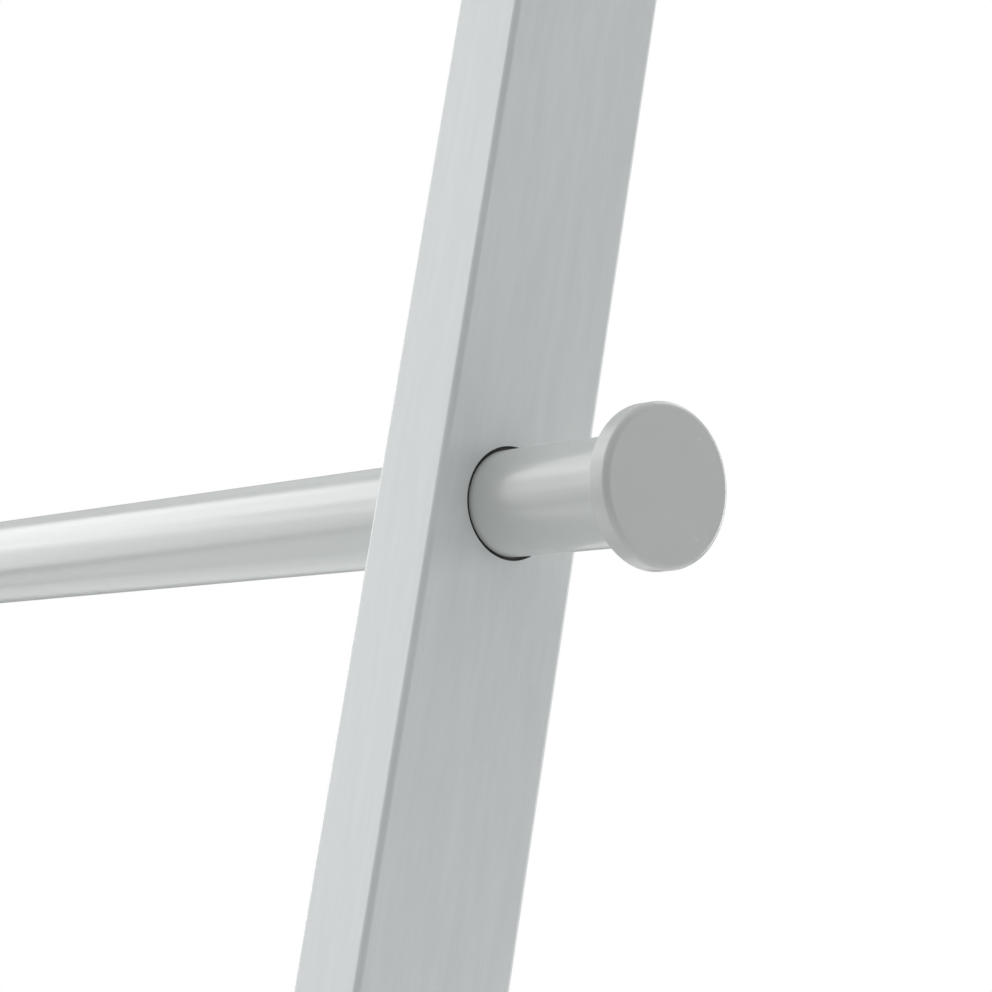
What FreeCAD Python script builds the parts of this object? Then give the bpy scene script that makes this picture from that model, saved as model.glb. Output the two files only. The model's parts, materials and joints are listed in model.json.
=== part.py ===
import FreeCAD, Part

import os

import Sketcher

# A leaning rack for a quilt or blanket: two flat posts lean back against a wall, and round rails pass
# through them and end in discs. Each rail turns in two thin bushes, one in each post.
#
# Frame of the part, in millimetres: X runs along the rails, +Y points to the wall, +Z is up. The origin is on
# the floor, in the middle of the rack's footprint.

RAIL_COUNT = 5
SIDES = {"left": -1, "right": 1}
FULL_TURN = 360
TOUCH = 0.01

# Turns that point a body's X axis, as axis and angle for an expression.
ALONG_X = {"left": ("0; 0; 1", "180"), "right": ("0; 0; 1", "0")}
TO_FRONT = ("0; 0; 1", "-90")
TO_TOP = ("0; 1; 0", "-90")
# The turn that leans a body with the posts, and turns that point a cylinder's Z axis.
LEANING = ("1; 0; 0", "-Sizes.lean")
UPWARD = ("1; 0; 0", "0")
FORWARD = ("1; 0; 0", "90")
OUTWARD = {"left": ("0; 1; 0", "-90"), "right": ("0; 1; 0", "90")}

# Driving dimensions: alias, value in millimetres (degrees for lean), and what it is.
SIZES = [
    ("overall_width", 600.0, "left discs' faces to right discs' faces"),
    ("post_length", 1800.0, "post, from its foot cut to its top, along the middle"),
    ("lean", 11.0, "angle of the posts from upright"),
    ("post_thick", 19.0, "post section along X"),
    ("post_depth", 35.0, "post section from front to back"),
    ("post_round", 1.2, "radius along the post's edges"),
    ("facet_length", 52.0, "upright cut at the post's rear top corner, along the post"),
    ("rail_first", 300.0, "foot cut to the lowest rail, along the post"),
    ("rail_last", 220.0, "highest rail to the post's top, along the post"),
    ("rail_diameter", 20.0, "rail tube, outside"),
    ("rail_wall", 1.5, "rail tube wall"),
    ("stub_length", 37.5, "bare rail between the post and the disc"),
    ("disc_diameter", 29.5, "disc on the end of a rail"),
    ("disc_thick", 4.5, "disc thickness"),
    ("disc_round", 1.2, "radius of the disc's outer rim"),
    ("disc_back_round", 0.3, "radius of the disc's back rim"),
    ("spigot_length", 3.0, "collar behind the disc that centres it in the tube"),
    ("stud_diameter", 6.0, "threaded stud behind the disc"),
    ("stud_length", 15.0, "stud, from the disc's back face"),
    ("plug_length", 12.0, "tapped plug bonded in the end of the tube"),
    ("run_gap", 0.05, "radial gap between a rail and its bush"),
    ("bush_wall", 0.6, "wall of the bush"),
    ("fit_gap", 0.05, "radial gap of a fixed fit: bush, plug, insert or screw"),
    ("bush_recess", 0.4, "bush end below the post's side face"),
    ("free_gap", 0.3, "gap left where pieces pass each other"),
    ("groove_depth", 0.8, "groove in the rail that the locating screw rides in"),
    ("point_diameter", 3.0, "dog point of the locating screw"),
    ("lock_diameter", 5.0, "thread of the locating screw"),
    ("lock_recess", 0.6, "locating screw below the post's rear face"),
    ("socket_size", 2.5, "hexagon socket of the locating screw, across its flats"),
    ("socket_depth", 2.2, "depth of that socket"),
    ("insert_diameter", 7.0, "threaded insert for the locating screw"),
    ("insert_skin", 1.0, "wood left between the rail's bore and the insert"),
    ("pad_inset", 0.5, "foot or bumper edge inside the post's edge"),
    ("pad_round", 1.0, "radius of a foot's or a bumper's corners"),
    ("foot_thick", 4.0, "rubber foot under the post"),
    ("bumper_thick", 4.0, "rubber bumper against the wall"),
    ("bumper_height", 40.0, "height of the bumper"),
    ("screw_diameter", 4.0, "wood screws"),
    ("head_diameter", 8.0, "head of a wood screw"),
    ("head_thick", 2.2, "height of that head"),
    ("head_flat", 4.8, "flat on top of that head"),
    ("head_seat", 1.0, "rubber left under a screw's head"),
    ("long_screw", 25.0, "foot and bumper screws, below the head"),
    ("short_screw", 12.0, "bracket screws, below the head"),
    ("bracket_thick", 2.0, "steel of the wall bracket"),
    ("bracket_height", 34.0, "height of the wall bracket"),
    ("bracket_side", 26.0, "bracket leg along the post, from the wall"),
    ("bracket_wall", 26.0, "bracket leg along the wall"),
    ("bracket_round", 4.0, "radius of the bracket's corners"),
    ("bend_inside", 1.0, "inner radius of the bracket's bend"),
    ("wall_hole", 5.0, "hole for the screw that goes into the wall"),
    ("wall_hole_in", 15.0, "post's inner face to that hole"),
    ("bracket_spread", 20.0, "upper to lower bracket screw"),
    ("bracket_screw_in", 17.0, "wall to the bracket screws"),
]

# Places and sizes worked out from the driving dimensions.
PLACES = [
    ("bore_diameter", "Sizes.rail_diameter + 2 * (Sizes.run_gap + Sizes.bush_wall + Sizes.fit_gap)"),
    ("tube_bore", "Sizes.rail_diameter - 2 * Sizes.rail_wall"),
    ("tube_end", "Sizes.overall_width / 2 - Sizes.disc_thick"),
    ("post_out", "tube_end - Sizes.stub_length"),
    ("post_mid", "post_out - Sizes.post_thick / 2"),
    ("post_in", "post_out - Sizes.post_thick"),
    ("rail_pitch", f"(Sizes.post_length - Sizes.rail_first - Sizes.rail_last) / {RAIL_COUNT - 1}"),
    ("front_reach", "Sizes.post_depth / 2 / cos(Sizes.lean)"),
    ("facet_low", "Sizes.post_length - Sizes.facet_length"),
    ("facet_reach", "Sizes.post_depth / 2 * cos(Sizes.lean) + facet_low * sin(Sizes.lean)"),
    ("foot_y", "(front_reach - facet_reach - Sizes.bumper_thick) / 2"),
    ("facet_y", "foot_y + facet_reach"),
    ("wall_y", "facet_y + Sizes.bumper_thick"),
    ("facet_drop", "Sizes.post_depth / 2 * sin(Sizes.lean)"),
    ("facet_foot_z", "Sizes.foot_thick + facet_low * cos(Sizes.lean) - facet_drop"),
    ("facet_z", "facet_foot_z + Sizes.facet_length / 2 / cos(Sizes.lean)"),
    ("lock_start", "bore_diameter / 2 + Sizes.free_gap"),
    ("lock_end", "Sizes.post_depth / 2 - Sizes.lock_recess"),
    ("lock_tip", "Sizes.rail_diameter / 2 - Sizes.groove_depth + Sizes.free_gap"),
    ("point_hole", "Sizes.point_diameter + 2 * Sizes.free_gap"),
    ("shank_hole", "Sizes.screw_diameter + 2 * Sizes.fit_gap"),
    ("head_hole", "Sizes.head_diameter + 2 * Sizes.free_gap"),
    ("foot_screw_z", "Sizes.foot_thick - Sizes.head_seat"),
    ("bumper_screw_y", "facet_y + Sizes.head_seat"),
    ("bracket_screw_x", "post_in - Sizes.bracket_thick"),
    ("bracket_screw_y", "wall_y - Sizes.bracket_screw_in"),
    ("bracket_screw_z", "facet_z - Sizes.bracket_spread / 2"),
]


# Sheets and expressions


def fill_sheets(doc):
    """Writes the driving dimensions to one sheet and the places to another, each cell with its alias."""
    sizes = doc.addObject("Spreadsheet::Sheet", "Sizes")
    for row, (alias, number, note) in enumerate(SIZES, 1):
        sizes.set(f"A{row}", alias)
        sizes.set(f"B{row}", str(number))
        sizes.set(f"C{row}", note)
        sizes.setAlias(f"B{row}", alias)
    places = doc.addObject("Spreadsheet::Sheet", "Places")
    for row, (alias, formula) in enumerate(PLACES, 1):
        places.set(f"A{row}", alias)
        places.set(f"B{row}", "=" + formula)
        places.setAlias(f"B{row}", alias)
    doc.recompute()


def value(doc, expression):
    """The number that an expression gives."""
    return float(doc.Sizes.evalExpression(expression))


def put(thing, x, y, z, turn=UPWARD):
    """Binds an object's placement to expressions for X, Y and Z and to a turn about an axis."""
    axis, angle = turn
    thing.setExpression("Placement", f"placement(vector({x}; {y}; {z}); rotation(vector({axis}); {angle}))")


# Sketches


def new_sketch(body, name, role):
    """A sketch on one of the body's own origin planes, such as XY_Plane."""
    sketch = body.newObject("Sketcher::SketchObject", name)
    plane = next(item for item in body.Origin.OriginFeatures if item.Role == role)
    sketch.AttachmentSupport = [(plane, "")]
    sketch.MapMode = "FlatFace"
    return sketch


def bind(sketch, constraint, name, expression):
    """Adds one dimension to a sketch and ties it to an expression."""
    index = sketch.addConstraint(constraint)
    sketch.renameConstraint(index, name)
    sketch.setExpression(f"Constraints.{name}", expression)


def pin(sketch, geometry, point, name, across, up):
    """Holds a point of a sketch at two expressions; a "0" puts it on the axis."""
    doc = sketch.Document
    if across == "0":
        sketch.addConstraint(Sketcher.Constraint("PointOnObject", geometry, point, -2))
    else:
        distance = Sketcher.Constraint("DistanceX", -1, 1, geometry, point, value(doc, across))
        bind(sketch, distance, f"{name}_across", across)
    if up == "0":
        sketch.addConstraint(Sketcher.Constraint("PointOnObject", geometry, point, -1))
    else:
        distance = Sketcher.Constraint("DistanceY", -1, 1, geometry, point, value(doc, up))
        bind(sketch, distance, f"{name}_up", up)


def draw_outline(sketch, corners):
    """Draws a closed outline of straight lines through corners given as pairs of expressions."""
    doc = sketch.Document
    points = [FreeCAD.Vector(value(doc, across), value(doc, up), 0) for across, up in corners]
    count = len(points)
    for i in range(count):
        sketch.addGeometry(Part.LineSegment(points[i], points[(i + 1) % count]), False)
    for i in range(count):
        sketch.addConstraint(Sketcher.Constraint("Coincident", i, 2, (i + 1) % count, 1))
        pin(sketch, i, 1, f"corner{i}", *corners[i])


def draw_circle(sketch, diameter, across="0", up="0"):
    """Draws a circle; its diameter and its centre are expressions."""
    doc = sketch.Document
    centre = FreeCAD.Vector(value(doc, across), value(doc, up), 0)
    circle = Part.Circle(centre, FreeCAD.Vector(0, 0, 1), value(doc, diameter) / 2)
    index = sketch.addGeometry(circle, False)
    pin(sketch, index, 3, f"centre{index}", across, up)
    bind(sketch, Sketcher.Constraint("Diameter", index, value(doc, diameter)), f"diameter{index}", diameter)


def rectangle(low_across, low_up, high_across, high_up):
    """The corners of a rectangle, as pairs of expressions."""
    return [(low_across, low_up), (high_across, low_up), (high_across, high_up), (low_across, high_up)]


def hexagon(across_flats):
    """The corners of a hexagon about the sketch's origin, two of them on its horizontal axis."""
    corners = []
    for degrees in range(0, FULL_TURN, 60):
        up = "0" if degrees % 180 == 0 else f"{across_flats} / 2 / cos(30) * sin({degrees})"
        corners.append((f"{across_flats} / 2 / cos(30) * cos({degrees})", up))
    return corners


# Features of a body


def new_body(doc, label):
    """An empty body that carries a sub-part's name."""
    body = doc.addObject("PartDesign::Body", label)
    body.Label = label
    return body


def pad(body, name, sketch, length, symmetric=False):
    """Pads a sketch by an expression."""
    feature = body.newObject("PartDesign::Pad", name)
    feature.Profile = sketch
    feature.setExpression("Length", length)
    if symmetric:
        feature.SideType = "Symmetric"
    return feature


def pocket(body, name, sketch, depth=None, both_ways=False, along_normal=False):
    """Cuts a sketch to a depth given as an expression, or right through, and stops if it cuts nothing."""
    body.Document.recompute()
    before = body.Shape.Volume
    feature = body.newObject("PartDesign::Pocket", name)
    feature.Profile = sketch
    if depth is None:
        feature.Type = "ThroughAll"
    else:
        feature.setExpression("Length", depth)
    if both_ways:
        feature.SideType = "Symmetric"
    feature.Reversed = along_normal
    body.Document.recompute()
    if body.Shape.Volume > before - TOUCH:
        raise RuntimeError(f"{name} in {body.Label} cuts nothing")
    return feature


def turned(doc, label, corners, role="XY_Plane"):
    """A body turned about its sketch's horizontal axis: X for XY_Plane, Y for YZ_Plane."""
    body = new_body(doc, label)
    profile = new_sketch(body, f"{label}_profile", role)
    draw_outline(profile, corners)
    feature = body.newObject("PartDesign::Revolution", f"{label}_turning")
    feature.Profile = profile
    feature.ReferenceAxis = (profile, ["H_Axis"])
    feature.Angle = FULL_TURN
    return body


def fillet(body, name, is_chosen, radius):
    """Rounds by an expression the edges that a test picks, and stops if it picks none."""
    body.Document.recompute()
    base = body.Tip
    edges = [f"Edge{i}" for i, edge in enumerate(base.Shape.Edges, 1) if is_chosen(edge)]
    if not edges:
        raise RuntimeError(f"{name} in {body.Label} finds no edge")
    feature = body.newObject("PartDesign::Fillet", name)
    feature.Base = (base, edges)
    feature.setExpression("Radius", radius)
    return feature


def repeat(body, name, features, direction, length, count):
    """Repeats features in a row along a sketch's axis; the expression gives the row's whole length."""
    pattern = body.newObject("PartDesign::LinearPattern", name)
    pattern.Originals = features
    pattern.Direction = direction
    pattern.setExpression("Length", length)
    pattern.Occurrences = count
    body.Tip = pattern


def repeat_up_post(body, features, sketch):
    """Repeats features once for each rail, up the post."""
    whole = f"{RAIL_COUNT - 1} * Places.rail_pitch"
    repeat(body, f"{body.Name}_rails", features, (sketch, ["V_Axis"]), whole, RAIL_COUNT)


def runs_along(edge, axis):
    """Whether a straight edge runs along a unit axis, either way."""
    first, last = edge.Vertexes[0].Point, edge.Vertexes[-1].Point
    return (last - first).cross(axis).Length < TOUCH < (last - first).Length


def rail_place(rail):
    """Expressions for a rail's Y and Z on the leaning posts; rail 1 is the lowest."""
    along = f"(Sizes.rail_first + {rail - 1} * Places.rail_pitch)"
    y = f"Places.foot_y + {along} * sin(Sizes.lean)"
    z = f"Sizes.foot_thick + {along} * cos(Sizes.lean)"
    return y, z


# Posts and what is fixed in them


def post_blank(doc, side):
    """The post with its rail bores and insert holes. Its own Z runs up the post and its Y to the rear."""
    body = new_body(doc, f"post_{side}_blank")
    half = "Sizes.post_depth / 2"
    rise = f"{half} * tan(Sizes.lean)"
    profile = new_sketch(body, f"{body.Name}_profile", "YZ_Plane")
    draw_outline(profile, [
        (f"-{half}", f"-{rise}"),
        (half, rise),
        (half, "Places.facet_low"),
        (f"{half} - Sizes.facet_length * tan(Sizes.lean)", "Sizes.post_length"),
        (f"-{half}", "Sizes.post_length"),
    ])
    pad(body, f"{body.Name}_plank", profile, "Sizes.post_thick", symmetric=True)

    above_foot = value(doc, "Sizes.post_depth")
    facet_low = value(doc, "Places.facet_low")

    def is_soft_edge(edge):
        heights = [vertex.Z for vertex in edge.Vertexes]
        at_facet_foot = max(abs(height - facet_low) for height in heights) < TOUCH
        return max(heights) > above_foot and not at_facet_foot

    fillet(body, f"{body.Name}_edges", is_soft_edge, "Sizes.post_round")

    bore_sketch = new_sketch(body, f"{body.Name}_bore_circle", "YZ_Plane")
    draw_circle(bore_sketch, "Places.bore_diameter", up="Sizes.rail_first")
    bore = pocket(body, f"{body.Name}_bore", bore_sketch, both_ways=True)
    insert_sketch = new_sketch(body, f"{body.Name}_insert_circle", "XZ_Plane")
    draw_circle(insert_sketch, "Sizes.insert_diameter + 2 * Sizes.fit_gap", up="Sizes.rail_first")
    insert_hole = pocket(body, f"{body.Name}_insert_hole", insert_sketch)
    repeat_up_post(body, [bore, insert_hole], bore_sketch)
    put(body, f"{SIDES[side]} * Places.post_mid", "Places.foot_y", "Sizes.foot_thick", LEANING)
    return body


def drill(doc, name, length, x, y, z, turn):
    """A cylinder that cuts the hole of a wood screw, from under its head to just past its tip."""
    cylinder = doc.addObject("Part::Cylinder", name)
    cylinder.setExpression("Radius", "Places.shank_hole / 2")
    cylinder.setExpression("Height", f"{length} + Sizes.free_gap")
    put(cylinder, x, y, z, turn)
    return cylinder


def make_post(doc, side):
    """The finished post: the blank less the holes of its foot, bumper and bracket screws."""
    middle = f"{SIDES[side]} * Places.post_mid"
    inner = f"{SIDES[side]} * Places.bracket_screw_x"
    high_screw_z = "Places.bracket_screw_z + Sizes.bracket_spread"
    drills = doc.addObject("Part::MultiFuse", f"post_{side}_drills")
    drills.Shapes = [
        drill(doc, f"foot_drill_{side}", "Sizes.long_screw",
              middle, "Places.foot_y", "Places.foot_screw_z", UPWARD),
        drill(doc, f"bumper_drill_{side}", "Sizes.long_screw",
              middle, "Places.bumper_screw_y", "Places.facet_z", FORWARD),
        drill(doc, f"low_drill_{side}", "Sizes.short_screw",
              inner, "Places.bracket_screw_y", "Places.bracket_screw_z", OUTWARD[side]),
        drill(doc, f"high_drill_{side}", "Sizes.short_screw",
              inner, "Places.bracket_screw_y", high_screw_z, OUTWARD[side]),
    ]
    post = doc.addObject("Part::Cut", f"post_{side}")
    post.Base = post_blank(doc, side)
    post.Tool = drills
    return post


def make_bush(doc, rail, side):
    """A thin sleeve in a post's bore, with a hole for the locating screw's point."""
    half = "(Sizes.post_thick / 2 - Sizes.bush_recess)"
    inner = "Sizes.rail_diameter / 2 + Sizes.run_gap"
    section = rectangle(f"-{half}", inner, half, f"{inner} + Sizes.bush_wall")
    body = turned(doc, f"bush_{rail}_{side}", section)
    hole = new_sketch(body, f"{body.Name}_hole", "XZ_Plane")
    draw_circle(hole, "Places.point_hole")
    pocket(body, f"{body.Name}_point_hole", hole)
    put(body, f"{SIDES[side]} * Places.post_mid", *rail_place(rail), LEANING)
    return body


def make_inserts(doc, side):
    """The threaded inserts in one post's rear edge, one behind each rail."""
    start = "Places.bore_diameter / 2 + Sizes.insert_skin"
    inner = "Sizes.lock_diameter / 2 + Sizes.fit_gap"
    corners = rectangle(start, inner, "Sizes.post_depth / 2", "Sizes.insert_diameter / 2")
    body = turned(doc, f"screw_inserts_{side}", corners, "YZ_Plane")
    turning = body.Tip
    repeat_up_post(body, [turning], turning.Profile[0])
    put(body, f"{SIDES[side]} * Places.post_mid", *rail_place(1), LEANING)
    return body


def make_lock_screws(doc, side):
    """The locating screws in one post, each with its point in a rail's groove."""
    point = "Sizes.point_diameter / 2"
    thread = "Sizes.lock_diameter / 2"
    body = turned(doc, f"locating_screws_{side}", [
        ("Places.lock_tip", "0"),
        ("Places.lock_end", "0"),
        ("Places.lock_end", thread),
        ("Places.lock_start", thread),
        ("Places.lock_start", point),
        ("Places.lock_tip", point),
    ], "YZ_Plane")
    turning = body.Tip
    socket_sketch = new_sketch(body, f"{body.Name}_hexagon", "XZ_Plane")
    socket_sketch.setExpression("AttachmentOffset.Base.z", "-Places.lock_end")
    draw_outline(socket_sketch, hexagon("Sizes.socket_size"))
    socket = pocket(body, f"{body.Name}_socket", socket_sketch, "Sizes.socket_depth", along_normal=True)
    repeat_up_post(body, [turning, socket], turning.Profile[0])
    put(body, f"{SIDES[side]} * Places.post_mid", *rail_place(1), LEANING)
    return body


# Rails


def make_rail(doc, rail):
    """A rail tube, with a groove at the middle of each post."""
    outer = "Sizes.rail_diameter / 2"
    bottom = f"{outer} - Sizes.groove_depth"
    corners = [("-Places.tube_end", "Places.tube_bore / 2"), ("Places.tube_end", "Places.tube_bore / 2"),
               ("Places.tube_end", outer)]
    for sign in (1, -1):
        near = f"{sign} * Places.post_mid + Places.point_hole / 2"
        far = f"{sign} * Places.post_mid - Places.point_hole / 2"
        corners += [(near, outer), (near, bottom), (far, bottom), (far, outer)]
    corners.append(("-Places.tube_end", outer))
    body = turned(doc, f"rail_{rail}", corners)
    put(body, "0", *rail_place(rail))
    return body


def make_disc(doc, rail, side):
    """The disc on a rail's end, with the collar and the stud behind it. Its own X points outwards."""
    rim = "Sizes.disc_diameter / 2"
    collar = "Places.tube_bore / 2 - Sizes.fit_gap"
    stud = "Sizes.stud_diameter / 2"
    body = turned(doc, f"rail_{rail}_disc_{side}", [
        ("-Sizes.stud_length", "0"),
        ("Sizes.disc_thick", "0"),
        ("Sizes.disc_thick", rim),
        ("0", rim),
        ("0", collar),
        ("-Sizes.spigot_length", collar),
        ("-Sizes.spigot_length", stud),
        ("-Sizes.stud_length", stud),
    ])
    rim_radius = value(doc, rim)
    front = value(doc, "Sizes.disc_thick")

    def is_rim_at(edge, x):
        box = edge.BoundBox
        return abs(box.XMin - x) < TOUCH and box.XLength < TOUCH and box.YLength > 2 * rim_radius - TOUCH

    fillet(body, f"{body.Name}_rim", lambda edge: is_rim_at(edge, front), "Sizes.disc_round")
    fillet(body, f"{body.Name}_back", lambda edge: is_rim_at(edge, 0), "Sizes.disc_back_round")
    put(body, f"{SIDES[side]} * Places.tube_end", *rail_place(rail), ALONG_X[side])
    return body


def make_plug(doc, rail, side):
    """The tapped plug inside a rail's end that the disc's stud screws into."""
    outer_end = "-(Sizes.spigot_length + Sizes.free_gap)"
    corners = rectangle(f"{outer_end} - Sizes.plug_length", "Sizes.stud_diameter / 2 + Sizes.fit_gap",
                        outer_end, "Places.tube_bore / 2 - Sizes.fit_gap")
    body = turned(doc, f"rail_{rail}_plug_{side}", corners)
    put(body, f"{SIDES[side]} * Places.tube_end", *rail_place(rail), ALONG_X[side])
    return body


# Feet, bumpers, brackets and their screws


def wood_screw(doc, label, length):
    """A round-headed wood screw. Its own X points the way it is driven, from under its head."""
    head = "Sizes.head_diameter / 2"
    shank = "Sizes.screw_diameter / 2"
    return turned(doc, label, [
        ("-Sizes.head_thick", "0"),
        (length, "0"),
        (f"{length} - Sizes.screw_diameter", shank),
        ("0", shank),
        ("0", head),
        ("-Sizes.head_thick / 2", head),
        ("-Sizes.head_thick", "Sizes.head_flat / 2"),
    ])


def rubber_pad(doc, label, half_width, half_height, thick, role):
    """A rubber block from an origin plane along its normal, with a stepped hole for its screw."""
    body = new_body(doc, label)
    outline = new_sketch(body, f"{label}_outline", role)
    draw_outline(outline, rectangle(f"-{half_width}", f"-{half_height}", half_width, half_height))
    pad(body, f"{label}_block", outline, thick)
    doc.recompute()
    normal = outline.Placement.Rotation.multVec(FreeCAD.Vector(0, 0, 1))
    fillet(body, f"{label}_corners", lambda edge: runs_along(edge, normal), "Sizes.pad_round")
    head = new_sketch(body, f"{label}_head_circle", role)
    draw_circle(head, "Places.head_hole")
    pocket(body, f"{label}_head_hole", head, f"{thick} - Sizes.head_seat", along_normal=True)
    shank = new_sketch(body, f"{label}_shank_circle", role)
    draw_circle(shank, "Places.shank_hole")
    pocket(body, f"{label}_shank_hole", shank, both_ways=True)
    return body


def make_foot(doc, side):
    """The rubber foot under a post and the screw up through it."""
    middle = f"{SIDES[side]} * Places.post_mid"
    foot = rubber_pad(doc, f"foot_{side}", "(Sizes.post_thick / 2 - Sizes.pad_inset)",
                      "(Places.front_reach - Sizes.pad_inset)", "Sizes.foot_thick", "XY_Plane")
    put(foot, middle, "Places.foot_y", "0")
    screw = wood_screw(doc, f"foot_screw_{side}", "Sizes.long_screw")
    put(screw, middle, "Places.foot_y", "Places.foot_screw_z", TO_TOP)
    return [foot, screw]


def make_bumper(doc, side):
    """The rubber bumper between a post's upright facet and the wall, and its screw."""
    middle = f"{SIDES[side]} * Places.post_mid"
    bumper = rubber_pad(doc, f"wall_bumper_{side}", "(Sizes.post_thick / 2 - Sizes.pad_inset)",
                        "(Sizes.bumper_height / 2)", "Sizes.bumper_thick", "XZ_Plane")
    put(bumper, middle, "Places.wall_y", "Places.facet_z")
    screw = wood_screw(doc, f"bumper_screw_{side}", "Sizes.long_screw")
    put(screw, middle, "Places.bumper_screw_y", "Places.facet_z", TO_FRONT)
    return [bumper, screw]


def make_bracket(doc, side):
    """The steel angle that ties a post's inner face to the wall, and its two screws."""
    inwards = -SIDES[side]
    body = new_body(doc, f"wall_bracket_{side}")
    outline = new_sketch(body, f"{body.Name}_outline", "XY_Plane")
    steel = f"{inwards} * Sizes.bracket_thick"
    draw_outline(outline, [
        ("0", "0"),
        ("0", "-Sizes.bracket_side"),
        (steel, "-Sizes.bracket_side"),
        (steel, "-Sizes.bracket_thick"),
        (f"{inwards} * Sizes.bracket_wall", "-Sizes.bracket_thick"),
        (f"{inwards} * Sizes.bracket_wall", "0"),
    ])
    pad(body, f"{body.Name}_angle", outline, "Sizes.bracket_height", symmetric=True)
    steel_thick = value(doc, "Sizes.bracket_thick")

    def is_leg_corner(edge):
        return edge.Length < steel_thick + TOUCH

    def is_bend_at(edge, distance):
        middle = edge.BoundBox.Center
        upright = runs_along(edge, FreeCAD.Vector(0, 0, 1))
        return upright and abs(abs(middle.x) - distance) < TOUCH and abs(middle.y + distance) < TOUCH

    fillet(body, f"{body.Name}_corners", is_leg_corner, "Sizes.bracket_round")
    fillet(body, f"{body.Name}_bend_in", lambda edge: is_bend_at(edge, steel_thick), "Sizes.bend_inside")
    fillet(body, f"{body.Name}_bend_out", lambda edge: is_bend_at(edge, 0),
           "Sizes.bend_inside + Sizes.bracket_thick")
    wall_hole = new_sketch(body, f"{body.Name}_wall_circle", "XZ_Plane")
    draw_circle(wall_hole, "Sizes.wall_hole", across=f"{inwards} * Sizes.wall_hole_in")
    pocket(body, f"{body.Name}_wall_hole", wall_hole, both_ways=True)
    screw_holes = new_sketch(body, f"{body.Name}_screw_circles", "YZ_Plane")
    for end in ("", "-"):
        draw_circle(screw_holes, "Places.shank_hole", "-Sizes.bracket_screw_in",
                    f"{end}Sizes.bracket_spread / 2")
    pocket(body, f"{body.Name}_screw_holes", screw_holes, both_ways=True)
    put(body, f"{SIDES[side]} * Places.post_in", "Places.wall_y", "Places.facet_z")

    screws = wood_screw(doc, f"bracket_screws_{side}", "Sizes.short_screw")
    turning = screws.Tip
    repeat(screws, f"{screws.Name}_pair", [turning], (turning.Profile[0], ["N_Axis"]),
           "Sizes.bracket_spread", 2)
    put(screws, f"{SIDES[side]} * Places.bracket_screw_x", "Places.bracket_screw_y",
        "Places.bracket_screw_z", ALONG_X[side])
    return [body, screws]


# The whole rack


def make_rack(doc):
    """Makes every sub-part and returns them."""
    parts = []
    for side in SIDES:
        parts.append(make_post(doc, side))
        parts.append(make_inserts(doc, side))
        parts.append(make_lock_screws(doc, side))
        parts += make_foot(doc, side)
        parts += make_bumper(doc, side)
        parts += make_bracket(doc, side)
    for rail in range(1, RAIL_COUNT + 1):
        parts.append(make_rail(doc, rail))
        for side in SIDES:
            parts.append(make_bush(doc, rail, side))
            parts.append(make_disc(doc, rail, side))
            parts.append(make_plug(doc, rail, side))
    return parts


def check(doc, parts):
    """Stops if any object failed or any sub-part's shape is missing or not valid."""
    for item in doc.Objects:
        if "Invalid" in item.State or "Error" in item.State:
            raise RuntimeError(f"{item.Label} failed: {item.State}")
    for part in parts:
        if part.Shape.isNull() or not part.Shape.isValid() or not part.Shape.Solids:
            raise RuntimeError(f"{part.Label} has no valid solid")


def write_parts(parts):
    """Writes each sub-part to a STEP file with its own name."""
    os.makedirs("parts", exist_ok=True)
    for part in parts:
        part.Shape.exportStep(f"parts/{part.Label}.step")


document = FreeCAD.newDocument("leaning_rack")
fill_sheets(document)
rack = make_rack(document)
document.recompute()
check(document, rack)
write_parts(rack)
print(len(rack), "sub-parts written")
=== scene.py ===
"""The looks of a leaning quilt rack: lacquered posts, coated rails with end discs, and their fittings.

Each sub-assembly is a class that holds its sizes in metres, builds its meshes and dresses them in a finish.
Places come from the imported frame. Every mesh is made in the piece's own frame and then set in the row frame.
"""

import json
import logging
import math
from collections.abc import Callable, Iterable, Sequence
from dataclasses import dataclass, field
from enum import Enum, IntEnum

import bmesh
import bpy
from mathutils import Matrix, Quaternion, Vector


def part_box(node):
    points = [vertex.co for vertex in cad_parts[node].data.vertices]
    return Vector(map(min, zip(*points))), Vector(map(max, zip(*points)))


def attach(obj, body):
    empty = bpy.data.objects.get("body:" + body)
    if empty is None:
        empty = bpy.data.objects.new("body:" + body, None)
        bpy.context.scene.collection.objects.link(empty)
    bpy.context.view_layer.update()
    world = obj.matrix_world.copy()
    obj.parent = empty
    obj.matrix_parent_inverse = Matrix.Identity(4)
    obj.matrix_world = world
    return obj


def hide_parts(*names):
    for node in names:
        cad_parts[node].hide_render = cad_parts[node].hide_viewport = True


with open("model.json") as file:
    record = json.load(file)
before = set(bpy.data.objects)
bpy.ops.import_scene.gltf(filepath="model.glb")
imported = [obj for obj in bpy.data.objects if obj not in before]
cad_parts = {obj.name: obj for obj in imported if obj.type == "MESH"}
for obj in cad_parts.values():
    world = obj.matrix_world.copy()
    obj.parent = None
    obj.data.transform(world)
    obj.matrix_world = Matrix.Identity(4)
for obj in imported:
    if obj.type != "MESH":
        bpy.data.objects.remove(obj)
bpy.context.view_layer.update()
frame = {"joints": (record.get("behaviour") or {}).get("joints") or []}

LOG = logging.getLogger("quilt_rack")

MM = 0.001
NEAR = 0.01 * MM
NO_RADIUS = 1e-7
FULL_TURN = 2.0 * math.pi
SOFT_ANGLE = math.radians(32)
BREAK_ANGLE = math.radians(50)
WHITE = (1.0, 1.0, 1.0, 1.0)

Profile = list[tuple[float, float]]
Triple = tuple[float, float, float]
Colour = Triple

# Takes a shape extruded along X to one extruded along Z, with its outline in X and Y
UPRIGHT = Matrix(((0, 1, 0, 0), (0, 0, 1, 0), (1, 0, 0, 0), (0, 0, 0, 1)))


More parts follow.
